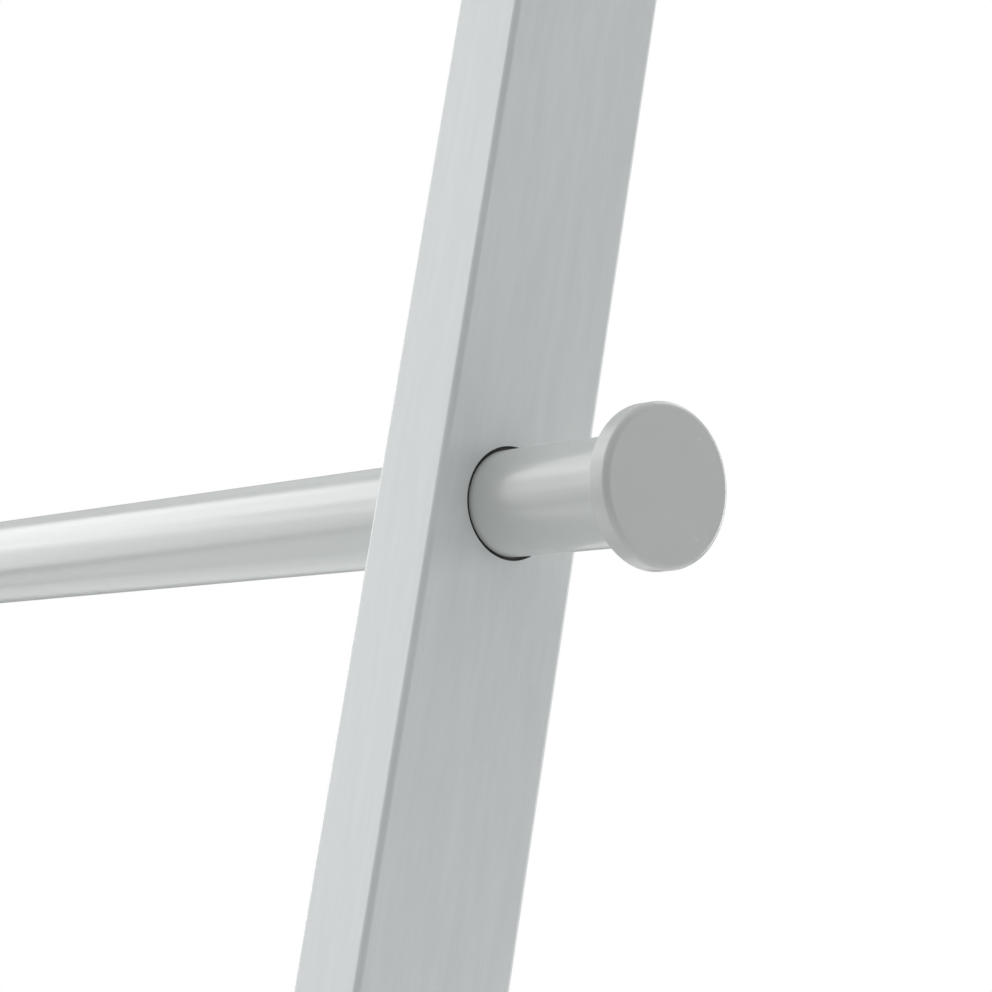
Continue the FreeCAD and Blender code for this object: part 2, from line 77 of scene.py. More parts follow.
class Side(Enum):
    """The two ends of the rack, with the sign of their X."""

    LEFT = -1
    RIGHT = 1

    @property
    def word(self) -> str:
        """The side's word in the names of nodes."""
        return self.name.lower()


class Axis(Enum):
    """The axes that a hole or a turned shape can run along."""

    X = (1.0, 0.0, 0.0)
    Y = (0.0, 1.0, 0.0)
    Z = (0.0, 0.0, 1.0)

    def turn_from_x(self) -> Matrix:
        """The turn that takes the X axis to this axis."""
        return Vector((1.0, 0.0, 0.0)).rotation_difference(Vector(self.value)).to_matrix().to_4x4()


class Facets(IntEnum):
    """How many faces a turned shape or a hole has round it."""

    HEX = 6
    POINT = 32
    SHANK = 48
    SCREW = 64
    PLUG = 96
    BUSH = 128
    RAIL = 160
    DISC = 192


# Mesh work


def arc(centre: tuple[float, float], radius: float, start: float, end: float, steps: int) -> Profile:
    """Points along a round of a profile.

    Args:
        centre: Middle of the round, as its place along the axis and its radius.
        radius: Radius of the round.
        start: First angle, in degrees.
        end: Last angle, in degrees.
        steps: Number of straight pieces.

    Returns:
        The points from start to end, both ends among them.
    """
    points = []
    for i in range(steps + 1):
        angle = math.radians(start + (end - start) * i / steps)
        points.append((centre[0] + radius * math.cos(angle), centre[1] + radius * math.sin(angle)))
    return points


def lathe(profile: Profile, segments: int) -> bpy.types.Mesh:
    """Turns a closed profile about the X axis.

    Args:
        profile: Corners as place along X and radius, in order round the section.
        segments: Number of faces round the axis.

    Returns:
        A closed mesh. A corner with no radius becomes a single vertex.
    """
    work = bmesh.new()
    rings = []
    for along, radius in profile:
        if radius < NO_RADIUS:
            rings.append([work.verts.new((along, 0.0, 0.0))])
            continue
        ring = []
        for i in range(segments):
            angle = FULL_TURN * i / segments
            ring.append(work.verts.new((along, radius * math.cos(angle), radius * math.sin(angle))))
        rings.append(ring)
    for ring, following in zip(rings, rings[1:] + rings[:1]):
        if len(ring) == 1 and len(following) == 1:
            continue
        for i in range(segments):
            j = (i + 1) % segments
            corners = [ring[i % len(ring)], ring[j % len(ring)], following[j % len(following)],
                       following[i % len(following)]]
            work.faces.new(list(dict.fromkeys(corners)))
    bmesh.ops.recalc_face_normals(work, faces=work.faces)
    return to_mesh(work)


def rectangle(half_y: float, half_z: float) -> Profile:
    """The corners of a rectangle about the origin, as Y and Z."""
    return [(-half_y, -half_z), (half_y, -half_z), (half_y, half_z), (-half_y, half_z)]


def extrude(outline: Profile, half: float) -> bmesh.types.BMesh:
    """Stands an outline of Y and Z up along X, to both sides.

    Args:
        outline: Corners as Y and Z, in order.
        half: Half of the thickness along X.

    Returns:
        The solid, for more work on it.
    """
    work = bmesh.new()
    near = [work.verts.new((-half, y, z)) for y, z in outline]
    far = [work.verts.new((half, y, z)) for y, z in outline]
    work.faces.new(near)
    work.faces.new(far)
    for i in range(len(outline)):
        j = (i + 1) % len(outline)
        work.faces.new((near[i], near[j], far[j], far[i]))
    bmesh.ops.recalc_face_normals(work, faces=work.faces)
    return work


def round_edges(work: bmesh.types.BMesh, chosen: Callable[[bmesh.types.BMEdge], bool], radius: float,
                steps: int) -> None:
    """Rounds the edges of a solid that a test chooses.

    Args:
        work: The solid.
        chosen: Says whether an edge is to be rounded.
        radius: Radius of the round.
        steps: Number of facets across it.
    """
    edges = [edge for edge in work.edges if chosen(edge)]
    bmesh.ops.bevel(work, geom=edges, offset=radius, segments=steps, profile=0.5, affect="EDGES",
                    clamp_overlap=True)


def to_mesh(work: bmesh.types.BMesh) -> bpy.types.Mesh:
    """Turns finished bmesh work into a mesh with smooth faces.

    Args:
        work: The solid, which is freed.

    Returns:
        The new mesh.
    """
    mesh = bpy.data.meshes.new("shape")
    work.to_mesh(mesh)
    work.free()
    mesh.shade_smooth()
    return mesh


def placed(mesh: bpy.types.Mesh, matrix: Matrix) -> bpy.types.Mesh:
    """Moves a mesh's vertices and gives the mesh back."""
    mesh.transform(matrix)
    return mesh


def joined(meshes: Iterable[bpy.types.Mesh]) -> bpy.types.Mesh:
    """Puts several meshes into one.

    Args:
        meshes: The meshes, which stay as they are.

    Returns:
        The new mesh.
    """
    work = bmesh.new()
    for mesh in meshes:
        work.from_mesh(mesh)
    return to_mesh(work)


def rod(radius: float, start: float, end: float, axis: Axis, at: Vector, segments: int) -> bpy.types.Mesh:
    """A plain rod to cut a hole with.

    Args:
        radius: The hole's radius.
        start: Where it starts along the axis, from the place given.
        end: Where it ends.
        axis: The way it runs.
        at: A point on its axis.
        segments: Number of faces round it.

    Returns:
        The cutter's mesh.
    """
    mesh = lathe([(start, 0.0), (start, radius), (end, radius), (end, 0.0)], segments)
    return placed(mesh, Matrix.Translation(at) @ axis.turn_from_x())


def cut(mesh: bpy.types.Mesh, cutters: Sequence[bpy.types.Mesh]) -> bpy.types.Mesh:
    """Takes cutters away from a solid.

    Args:
        mesh: The solid.
        cutters: The shapes to take away, none touching another.

    Returns:
        The solid less the cutters.
    """
    body = bpy.data.objects.new("cut_body", mesh)
    tool = bpy.data.objects.new("cut_tool", joined(cutters))
    for thing in (body, tool):
        bpy.context.scene.collection.objects.link(thing)
    boolean = body.modifiers.new("cut", "BOOLEAN")
    boolean.operation = "DIFFERENCE"
    boolean.solver = "EXACT"
    boolean.object = tool
    result = evaluated_mesh(body)
    for thing in (body, tool):
        bpy.data.objects.remove(thing)
    return result


def evaluated_mesh(thing: bpy.types.Object) -> bpy.types.Mesh:
    """The mesh of an object with its modifiers applied."""
    graph = bpy.context.evaluated_depsgraph_get()
    return bpy.data.meshes.new_from_object(thing.evaluated_get(graph), depsgraph=graph)


def broken_edges(mesh: bpy.types.Mesh, radius: float, steps: int = 2) -> bpy.types.Mesh:
    """Breaks every sharp edge of a mesh with a small round.

    Args:
        mesh: The solid.
        radius: Width of the round.
        steps: Number of facets across it.

    Returns:
        The solid with broken edges.
    """
    body = bpy.data.objects.new("edge_body", mesh)
    bpy.context.scene.collection.objects.link(body)
    bevel = body.modifiers.new("break", "BEVEL")
    bevel.width = radius
    bevel.segments = steps
    bevel.limit_method = "ANGLE"
    bevel.angle_limit = BREAK_ANGLE
    result = evaluated_mesh(body)
    bpy.data.objects.remove(body)
    return result


def even_shading(mesh: bpy.types.Mesh) -> bpy.types.Mesh:
    """Keeps flat faces flat beside rounds, by normals weighted with the faces' areas.

    Args:
        mesh: The finished shape.

    Returns:
        The same shape with its own normals.
    """
    mesh.shade_smooth()
    mesh.set_sharp_from_angle(angle=SOFT_ANGLE)
    body = bpy.data.objects.new("shade_body", mesh)
    bpy.context.scene.collection.objects.link(body)
    weighted = body.modifiers.new("weighted", "WEIGHTED_NORMAL")
    weighted.mode = "FACE_AREA"
    weighted.weight = 100
    weighted.keep_sharp = True
    result = evaluated_mesh(body)
    bpy.data.objects.remove(body)
    return result


# Shader node work


class Nodes:
    """A node tree with short ways to add and join its nodes."""

    def __init__(self, tree: bpy.types.NodeTree) -> None:
        """Starts on a tree."""
        self.tree = tree

    def add(self, kind: str, inputs: dict[str, object] | None = None, **settings: object) -> bpy.types.Node:
        """Adds a node.

        Args:
            kind: The node's type name.
            inputs: Socket name or number to a plain value, or to a socket to join it to.
            **settings: The node's own properties.

        Returns:
            The new node.
        """
        made = self.tree.nodes.new(kind)
        for name, value in settings.items():
            setattr(made, name, value)
        for name, value in (inputs or {}).items():
            if isinstance(value, bpy.types.NodeSocket):
                self.tree.links.new(value, made.inputs[name])
            else:
                made.inputs[name].default_value = value
        return made

    def math(self, operation: str, first: object, second: object) -> bpy.types.NodeSocket:
        """Adds a Math node.

        Args:
            operation: What it does.
            first: First value or socket.
            second: Second value or socket.

        Returns:
            The result's socket.
        """
        return self.add("ShaderNodeMath", {0: first, 1: second}, operation=operation).outputs[0]

    def remap(self, value: bpy.types.NodeSocket, low: float, high: float, to_low: float,
              to_high: float) -> bpy.types.NodeSocket:
        """Maps a value from one range to another, held within it.

        Args:
            value: The value's socket.
            low: Start of the range it comes in.
            high: End of that range.
            to_low: What low becomes.
            to_high: What high becomes.

        Returns:
            The result's socket.
        """
        inputs = {"Value": value, "From Min": low, "From Max": high, "To Min": to_low, "To Max": to_high}
        return self.add("ShaderNodeMapRange", inputs).outputs["Result"]

    def noise(self, vector: bpy.types.NodeSocket, scale: float, detail: float,
              roughness: float) -> bpy.types.NodeSocket:
        """Adds a noise and gives the socket of its value."""
        inputs = {"Vector": vector, "Scale": scale, "Detail": detail, "Roughness": roughness}
        return self.add("ShaderNodeTexNoise", inputs).outputs["Fac"]

    def stretched(self, vector: bpy.types.NodeSocket, scale: Triple) -> bpy.types.NodeSocket:
        """Scales a vector by parts and gives its socket."""
        return self.add("ShaderNodeVectorMath", {0: vector, 1: scale}, operation="MULTIPLY").outputs[0]

    def shade(self, colour: Colour, value: bpy.types.NodeSocket) -> bpy.types.NodeSocket:
        """A colour times a varying value."""
        return self.add("ShaderNodeVectorMath", {0: colour, "Scale": value}, operation="SCALE").outputs[0]


def new_group(name: str, outputs: Sequence[str]) -> bpy.types.ShaderNodeTree:
    """Starts a shared node group with a vector input and number outputs.

    Args:
        name: The group's name.
        outputs: Names of the outputs.

    Returns:
        The group's tree.
    """
    tree = bpy.data.node_groups.new(name, "ShaderNodeTree")
    tree.interface.new_socket("Vector", in_out="INPUT", socket_type="NodeSocketVector")
    for label in outputs:
        tree.interface.new_socket(label, in_out="OUTPUT", socket_type="NodeSocketFloat")
    return tree


# Streaks, pores or bumps to a metre: across the grain both ways and then along it, or the same every way
BROAD_STREAKS = (220.0, 220.0, 16.0)
FINE_STREAKS = (450.0, 450.0, 60.0)
OPEN_PORES = (2600.0, 2600.0, 260.0)
MOTTLE = 160.0
ORANGE_PEEL = 1400.0
GRIT = 5200.0

# The part of a noise's values that is used, from its low end to its high end
PORE_RANGE = (0.60, 0.72)
TONE_RANGE = (0.25, 0.75)


def straight_grain() -> bpy.types.ShaderNodeTree:
    """Fine straight grain along Z: long soft streaks, short open pores and their height.

    Returns:
        The group, made on the first call.
    """
    made = bpy.data.node_groups.get("straight grain")
    if made:
        return made
    tree = new_group("straight grain", ["Streaks", "Pores", "Height"])
    nodes = Nodes(tree)
    vector = nodes.add("NodeGroupInput").outputs["Vector"]
    broad = nodes.noise(nodes.stretched(vector, BROAD_STREAKS), 1.0, 3.0, 0.6)
    fine = nodes.noise(nodes.stretched(vector, FINE_STREAKS), 1.0, 2.0, 0.5)
    flecks = nodes.noise(nodes.stretched(vector, OPEN_PORES), 1.0, 2.0, 0.6)
    streaks = nodes.math("ADD", nodes.math("MULTIPLY", broad, 0.5), nodes.math("MULTIPLY", fine, 0.5))
    pores = nodes.remap(flecks, *PORE_RANGE, 0.0, 1.0)
    height = nodes.math("SUBTRACT", streaks, nodes.math("MULTIPLY", pores, 0.5))
    nodes.add("NodeGroupOutput", {"Streaks": streaks, "Pores": pores, "Height": height})
    return tree


def fine_coat() -> bpy.types.ShaderNodeTree:
    """The fine skin of a sprayed coat: a soft mottle and the height of its orange peel.

    Returns:
        The group, made on the first call.
    """
    made = bpy.data.node_groups.get("fine coat")
    if made:
        return made
    tree = new_group("fine coat", ["Mottle", "Height"])
    nodes = Nodes(tree)
    vector = nodes.add("NodeGroupInput").outputs["Vector"]
    peel = nodes.noise(vector, ORANGE_PEEL, 2.0, 0.5)
    grit = nodes.noise(vector, GRIT, 1.0, 0.5)
    mottle = nodes.noise(vector, MOTTLE, 3.0, 0.6)
    height = nodes.math("ADD", nodes.math("MULTIPLY", peel, 0.6), nodes.math("MULTIPLY", grit, 0.4))
    nodes.add("NodeGroupOutput", {"Mottle": mottle, "Height": height})
    return tree


# Finishes

SocketPair = tuple[bpy.types.NodeSocket, bpy.types.NodeSocket]


@dataclass(frozen=True)
class Finish:
    """What every finish has: linear colour, roughness, their spreads, a bump and the record's slot."""

    name: str
    colour: Colour
    roughness: float
    colour_spread: float = 0.03
    roughness_spread: float = 0.05
    bump: float = 0.00002
    slot: str = ""

    def dressed(self, shader: bpy.types.Node) -> None:
        """Sets what one kind of finish has of its own; the plain one has nothing."""

    def values(self, nodes: Nodes, place: bpy.types.NodeSocket) -> SocketPair:
        """The two varying values of the finish.

        Args:
            nodes: The material's nodes.
            place: The socket of the piece's own coordinates.

        Returns:
            A mottle from 0 to 1 and the height of the surface.
        """
        group = nodes.add("ShaderNodeGroup", node_tree=fine_coat())
        nodes.tree.links.new(place, group.inputs["Vector"])
        return group.outputs["Mottle"], group.outputs["Height"]

    def material(self) -> bpy.types.Material:
        """Builds the material.

        Returns:
            The material, made on the first call.
        """
        made = bpy.data.materials.get(self.name)
        if made:
            return made
        material = bpy.data.materials.new(self.name)
        material.use_nodes = True
        nodes = Nodes(material.node_tree)
        shader = material.node_tree.nodes["Principled BSDF"]
        place = nodes.add("ShaderNodeTexCoord").outputs["Object"]
        mottle, height = self.values(nodes, place)
        tone = nodes.remap(mottle, *TONE_RANGE, 1.0 - self.colour_spread, 1.0 + self.colour_spread)
        material.node_tree.links.new(nodes.shade(self.colour, tone), shader.inputs["Base Color"])
        low, high = self.roughness - self.roughness_spread, self.roughness + self.roughness_spread
        material.node_tree.links.new(nodes.remap(mottle, *TONE_RANGE, low, high), shader.inputs["Roughness"])
        bump = nodes.add("ShaderNodeBump", {"Strength": 1.0, "Distance": self.bump, "Height": height})
        material.node_tree.links.new(bump.outputs["Normal"], shader.inputs["Normal"])
        self.dressed(shader)
        return material


@dataclass(frozen=True)
class LacqueredWood(Finish):
    """Fine straight-grained wood under a thin pale lacquer."""

    pore_depth: float = 0.05
    lean: float = 0.0

    def values(self, nodes: Nodes, place: bpy.types.NodeSocket) -> SocketPair:
        """The streaks less the pores, and the height of the grain.

        Args:
            nodes: The material's nodes.
            place: The socket of the piece's own coordinates.

        Returns:
            The grain's tone and its height.
        """
        upright = nodes.add("ShaderNodeVectorRotate", {"Vector": place, "Angle": self.lean},
                            rotation_type="X_AXIS")
        group = nodes.add("ShaderNodeGroup", node_tree=straight_grain())
        nodes.tree.links.new(upright.outputs["Vector"], group.inputs["Vector"])
        depth = nodes.math("MULTIPLY", group.outputs["Pores"], self.pore_depth)
        return nodes.math("SUBTRACT", group.outputs["Streaks"], depth), group.outputs["Height"]


@dataclass(frozen=True)
class Metal(Finish):
    """Bare metal: plated, turned or blackened."""

    def dressed(self, shader: bpy.types.Node) -> None:
        """Makes the surface metallic."""
        shader.inputs["Metallic"].default_value = 1.0


class Finishes:
    """The rack's finishes, one for each material slot of the record, and the floor's."""

    POST = LacqueredWood("pale lacquered wood", (0.638, 0.668, 0.668), 0.45, 0.048, 0.04, 0.00003,
                         "post_wood", lean=math.radians(11))
    RAIL = Finish("rail coat", (0.562, 0.588, 0.582), 0.22, 0.01, 0.03, 0.000004, "rail_coat")
    DISC = Finish("disc coat", (0.53, 0.55, 0.545), 0.25, 0.01, 0.03, 0.000004, "disc_coat")
    BRACKET = Finish("bracket coat", (0.56, 0.59, 0.58), 0.38, 0.01, 0.03, 0.000006, "bracket_steel")
    # Near-black nylon. The bushes' ends, seen just inside the bores, also stand in for the shade in the gap
    # round each rail: painted shade on a real part.
    BUSH = Finish("black nylon", (0.006, 0.006, 0.006), 0.5, 0.2, 0.05, 0.000003, "bush_nylon")
    RUBBER = Finish("dark rubber", (0.014, 0.014, 0.015), 0.7, 0.2, 0.08, 0.00002, "pad_rubber")
    SCREW = Metal("zinc plate", (0.60, 0.60, 0.58), 0.30, 0.05, 0.08, 0.000004, "screw_steel")
    LOCATING = Metal("black oxide", (0.05, 0.05, 0.055), 0.35, 0.15, 0.08, 0.000004, "locating_steel")
    INSERT = Metal("turned brass", (0.72, 0.52, 0.24), 0.28, 0.05, 0.08, 0.000003, "insert_brass")
    PLUG = Metal("turned aluminium", (0.70, 0.70, 0.71), 0.30, 0.04, 0.08, 0.000003, "plug_aluminium")
    FLOOR = Finish("pale floor", (0.80, 0.80, 0.80), 0.8, 0.01, 0.02, 0.00001)


def make_piece(node: str, made_of: str, mesh: bpy.types.Mesh, finish: Finish, place: Matrix,
               body: str) -> None:
    """Sets a finished shape in the row frame, names it after the node it stands for and hides that node's
    imported part.

    Args:
        node: The node it stands for.
        made_of: The word that ends the piece's own name.
        mesh: Its mesh, in its own frame.
        finish: What it is dressed in, with the record's material slot.
        place: Its own frame in the row frame.
        body: The body it rides on.
    """
    name = f"{node}_{made_of}"
    mesh.name = name
    mesh.materials.clear()
    mesh.materials.append(finish.material())
    piece = bpy.data.objects.new(name, mesh)
    bpy.context.scene.collection.objects.link(piece)
    piece.matrix_world = place
    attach(piece, body)
    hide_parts(node)
    LOG.info("%s: %d faces", name, len(mesh.polygons))


# The rack's places


@dataclass
class Layout:
    """Where things are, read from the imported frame."""

    rails: list[Vector] = field(init=False)
    lean: float = field(init=False)
    post_foot: Vector = field(init=False)
    stand: str = "stand"

    def __post_init__(self) -> None:
        """Reads the rails' axes, the lean and the post's foot."""
        self.rails = [Vector(joint["pos_m"]) for joint in frame["joints"]]
        run = self.rails[-1] - self.rails[0]
        self.lean = math.atan2(run.y, run.z)
        foot_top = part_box("foot_right")[1].z
        climb = (self.rails[0].z - foot_top) / math.cos(self.lean)
        self.post_foot = Vector((0.0, self.rails[0].y - climb * math.sin(self.lean), foot_top))

    @property
    def rail_numbers(self) -> range:
        """The rails' numbers, the lowest first."""
        return range(1, len(self.rails) + 1)

    def up_post(self, rail: int) -> float:
        """How far a rail's axis is up the post, from the post's foot."""
        return (self.rails[rail - 1] - self.post_foot).length

    def post_origin(self, side: Side) -> Matrix:
        """The middle of the post's foot, with no turn."""
        low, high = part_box(f"post_{side.word}")
        return Matrix.Translation(((low.x + high.x) / 2, self.post_foot.y, self.post_foot.z))

    def leaning(self) -> Matrix:
        """The turn from the post's own frame, whose Z runs up the post and Y to the rear."""
        return Matrix.Rotation(-self.lean, 4, "X")

    def post_place(self, side: Side) -> Matrix:
        """The post's own frame in the row frame."""
        return self.post_origin(side) @ self.leaning()

    def end_place(self, rail: int, side: Side) -> Matrix:
        """The frame of a rail's end, whose X points out of the tube.

        Args:
            rail: The rail's number.
            side: Which of its ends.

        Returns:
            The end's own frame in the row frame.
        """
        low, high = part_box(f"rail_{rail}")
        end = high.x if side is Side.RIGHT else low.x
        axis = self.rails[rail - 1]
        turn = Matrix.Rotation(0.0 if side is Side.RIGHT else math.pi, 4, "Z")
        return Matrix.Translation((end, axis.y, axis.z)) @ turn


# Sub-assemblies


@dataclass
class Post:
    """A flat leaning post with its rail bores, bushes, inserts and locating screws."""

    layout: Layout
    side: Side
    thick: float = 19 * MM
    depth: float = 35 * MM
    length: float = 1800 * MM
    facet: float = 52 * MM
    edge_round: float = 1.2 * MM
    bore: float = 21.4 * MM
    insert_hole: float = 7.1 * MM
    insert_bore: float = 5.1 * MM
    insert_diameter: float = 7 * MM
    insert_start: float = 11.7 * MM
    lock_diameter: float = 5 * MM
    lock_span: tuple[float, float] = (11.0 * MM, 16.9 * MM)
    lock_tip: float = 9.5 * MM
    point_diameter: float = 3 * MM
    point_hole: float = 3.6 * MM
    socket: float = 2.5 * MM
    socket_depth: float = 2.2 * MM
    # The bushes end only 0.4 mm inside the bores, so their near-black ends show in the gap round each rail as
    # painted shade.
    bush_half: float = 9.1 * MM
    bush_inner: float = 10.05 * MM
    bush_outer: float = 10.65 * MM
    bush_round: float = 0.1 * MM
    point_span: tuple[float, float] = (5 * MM, 15 * MM)
    chamfer: float = 0.3 * MM
    screw_hole: float = 4.1 * MM
    screw_head: float = 4 * MM
    long_reach: float = 13 * MM
    long_extra: float = 0.3 * MM
    short_reach: float = 7.4 * MM

    def outline(self) -> Profile:
        """The post from the side: level foot, upright facet, square top.

        Returns:
            Its corners as Y and Z, in the post's own frame.
        """
        half = self.depth / 2
        slope = math.tan(self.layout.lean)
        return [(-half, -half * slope), (half, half * slope), (half, self.length - self.facet),
                (half - self.facet * slope, self.length), (-half, self.length)]

    def plank(self) -> bpy.types.Mesh:
        """The post before it is drilled, with all but its foot's edges rounded.

        Returns:
            Its mesh, in the post's own frame.
        """
        work = extrude(self.outline(), self.thick / 2)
        facet_low = self.length - self.facet

        def is_soft(edge: bmesh.types.BMEdge) -> bool:
            heights = [vertex.co.z for vertex in edge.verts]
            at_facet_foot = all(abs(height - facet_low) < MM for height in heights)
            return max(heights) > self.depth and not at_facet_foot

        round_edges(work, is_soft, self.edge_round, 6)
        return to_mesh(work)

    def at_rails(self, radius: float, start: float, end: float, axis: Axis,
                 segments: int) -> list[bpy.types.Mesh]:
        """The same cutter at each rail's axis, in the post's own frame.

        Args:
            radius: The hole's radius.
            start: Where it starts, from the rail's axis.
            end: Where it ends.
            axis: The way it runs.
            segments: Number of faces round it.

        Returns:
            One cutter for each rail.
        """
        made = []
        for rail in self.layout.rail_numbers:
            at = Vector((0.0, 0.0, self.layout.up_post(rail)))
            made.append(rod(radius, start, end, axis, at, segments))
        return made

    def screw_drills(self) -> list[bpy.types.Mesh]:
        """The cutters of the wood screws' holes.

        Returns:
            One for each screw, in the post's own frame.
        """
        to_post = self.layout.post_place(self.side).inverted()
        made = []
        for label, axis in (("foot_screw", Axis.Z), ("bumper_screw", Axis.Y)):
            low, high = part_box(f"{label}_{self.side.word}")
            mesh = rod(self.screw_hole / 2, -self.long_reach, self.long_reach + self.long_extra, axis,
                       (low + high) / 2, Facets.SHANK)
            made.append(placed(mesh, to_post))
        low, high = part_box(f"bracket_screws_{self.side.word}")
        spread = (high.z - low.z) / 2 - self.screw_head
        for step in (-1, 1):
            at = (low + high) / 2 + Vector((0.0, 0.0, step * spread))
            mesh = rod(self.screw_hole / 2, -self.short_reach, self.short_reach, Axis.X, at, Facets.SHANK)
            made.append(placed(mesh, to_post))
        return made

    def post_mesh(self) -> bpy.types.Mesh:
        """The post with its rail bores, screw holes, and insert holes from the bores to the rear edge.

        Returns:
            Its mesh, in the post's own frame.
        """
        bores = self.at_rails(self.bore / 2, -self.thick, self.thick, Axis.X, Facets.RAIL)
        inserts = self.at_rails(self.insert_hole / 2, self.bore / 2 - MM, self.depth, Axis.Y, Facets.SCREW)
        mesh = cut(self.plank(), bores)
        mesh = cut(mesh, inserts)
        return even_shading(cut(mesh, self.screw_drills()))

    def bush_mesh(self) -> bpy.types.Mesh:
        """A thin sleeve with the hole for the locating screw's point.

        Returns:
            Its mesh, its X along the rail and its Y to the rear.
        """
        inner, outer, half, edge = self.bush_inner, self.bush_outer, self.bush_half, self.bush_round
        profile = [(-half, inner), (-half, outer - edge), (-half + edge, outer), (half - edge, outer),
                   (half, outer - edge), (half, inner)]
        point = rod(self.point_hole / 2, *self.point_span, Axis.Y, Vector(), Facets.POINT)
        return even_shading(cut(lathe(profile, Facets.BUSH), [point]))

    def insert_mesh(self) -> bpy.types.Mesh:
        """One threaded insert with a chamfered mouth.

        Returns:
            Its mesh, its X to the rear from the rail's axis.
        """
        outer, inner, end = self.insert_diameter / 2, self.insert_bore / 2, self.depth / 2
        return lathe([(self.insert_start, inner), (self.insert_start, outer), (end, outer),
                      (end, inner + self.chamfer), (end - self.chamfer, inner)], Facets.SCREW)

    def lock_mesh(self) -> bpy.types.Mesh:
        """One locating screw with its point and hex socket.

        Returns:
            Its mesh, its X to the rear from the rail's axis.
        """
        tip, chamfer = self.lock_tip, self.chamfer
        start, end = self.lock_span
        outer, point = self.lock_diameter / 2, self.point_diameter / 2
        body = lathe([(tip, 0.0), (tip, point - chamfer), (tip + chamfer, point), (start, point),
                      (start, outer - chamfer), (start + chamfer, outer), (end - chamfer, outer),
                      (end, outer - chamfer), (end, 0.0)], Facets.SCREW)
        corner, bottom = self.socket / math.sqrt(3), end - self.socket_depth
        key = lathe([(bottom, 0.0), (bottom, corner), (end + MM, corner), (end + MM, 0.0)], Facets.HEX)
        return cut(body, [key])

    def up_rails(self, mesh: bpy.types.Mesh) -> bpy.types.Mesh:
        """Repeats a small part that points to the rear at every rail.

        Args:
            mesh: The part, its X to the rear from the rail's axis.

        Returns:
            All of them as one mesh, in the post's own frame.
        """
        turned = []
        for rail in self.layout.rail_numbers:
            at = Matrix.Translation((0.0, 0.0, self.layout.up_post(rail)))
            turned.append(placed(mesh.copy(), at @ Axis.Y.turn_from_x()))
        return even_shading(joined(turned))

    def build(self) -> None:
        """Makes the post and all that is fixed in it."""
        word = self.side.word
        stand = self.layout.stand
        place = self.layout.post_origin(self.side)
        lean = self.layout.leaning()
        make_piece(f"post_{word}", "wood", placed(self.post_mesh(), lean), Finishes.POST, place, stand)
        inserts, locks = self.up_rails(self.insert_mesh()), self.up_rails(self.lock_mesh())
        make_piece(f"screw_inserts_{word}", "brass", placed(inserts, lean), Finishes.INSERT, place, stand)
        make_piece(f"locating_screws_{word}", "steel", placed(locks, lean), Finishes.LOCATING, place, stand)
        # The bushes' near-black ends, just inside the bores, also paint shade into the gap round each rail.
        bush = placed(self.bush_mesh(), lean)
        for rail, axis in zip(self.layout.rail_numbers, self.layout.rails):
            at = Matrix.Translation((place.translation.x, axis.y, axis.z))
            make_piece(f"bush_{rail}_{word}", "nylon", bush.copy(), Finishes.BUSH, at, stand)


@dataclass
class RailUnit:
    """One turning rail: the tube, and at each end a disc on a stud in a plug."""

    layout: Layout
    number: int
    radius: float = 10 * MM
    tube_bore: float = 8.5 * MM
    end_round: float = 0.2 * MM
    groove_half: float = 1.8 * MM
    groove_depth: float = 0.8 * MM
    disc_radius: float = 14.75 * MM
    disc_thick: float = 4.5 * MM
    disc_round: float = 1.2 * MM
    back_round: float = 0.3 * MM
    collar: float = 8.45 * MM
    spigot: float = 3 * MM
    stud_radius: float = 3 * MM
    stud_length: float = 15 * MM
    plug_bore: float = 3.05 * MM
    plug_start: float = 3.3 * MM
    plug_length: float = 12 * MM

    def tube_mesh(self) -> bpy.types.Mesh:
        """The tube with its two grooves for the locating screws.

        Returns:
            Its mesh, its X along the rail from the rail's middle.
        """
        low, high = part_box(f"rail_{self.number}")
        half = (high.x - low.x) / 2
        post_low, post_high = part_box("post_right")
        groove = (post_low.x + post_high.x) / 2
        floor = self.radius - self.groove_depth
        outer: Profile = [(-half, self.radius - self.end_round), (-half + self.end_round, self.radius)]
        for middle in (-groove, groove):
            outer += [(middle - self.groove_half, self.radius), (middle - self.groove_half, floor),
                      (middle + self.groove_half, floor), (middle + self.groove_half, self.radius)]
        outer += [(half - self.end_round, self.radius), (half, self.radius - self.end_round)]
        return even_shading(lathe(outer + [(half, self.tube_bore), (-half, self.tube_bore)], Facets.RAIL))

    def disc_mesh(self) -> bpy.types.Mesh:
        """The disc with its rounded rim, and behind it the collar and the stud.

        Returns:
            Its mesh, in the frame of the rail's end.
        """
        rim, front = self.disc_radius, self.disc_thick
        profile = [(-self.stud_length, 0.0), (front, 0.0)]
        profile += arc((front - self.disc_round, rim - self.disc_round), self.disc_round, 0, 90, steps=14)
        profile += arc((self.back_round, rim - self.back_round), self.back_round, 90, 180, steps=5)
        profile += [(0.0, self.collar), (-self.spigot, self.collar), (-self.spigot, self.stud_radius),
                    (-self.stud_length, self.stud_radius)]
        return even_shading(lathe(profile, Facets.DISC))

    def plug_mesh(self) -> bpy.types.Mesh:
        """The tapped plug inside the tube's end.

        Returns:
            Its mesh, in the frame of the rail's end.
        """
        start, end = -self.plug_start - self.plug_length, -self.plug_start
        return even_shading(lathe([(start, self.plug_bore), (start, self.collar), (end, self.collar),
                                   (end, self.plug_bore)], Facets.PLUG))

    def build(self) -> None:
        """Makes the rail's five pieces."""
        rail = f"rail_{self.number}"
        body = f"{rail}_unit"
        axis = self.layout.rails[self.number - 1]
        place = Matrix.Translation((0.0, axis.y, axis.z))
        make_piece(rail, "tube", self.tube_mesh(), Finishes.RAIL, place, body)
        for side in Side:
            end = self.layout.end_place(self.number, side)
            make_piece(f"{rail}_disc_{side.word}", "turned", self.disc_mesh(), Finishes.DISC, end, body)
            make_piece(f"{rail}_plug_{side.word}", "turned", self.plug_mesh(), Finishes.PLUG, end, body)


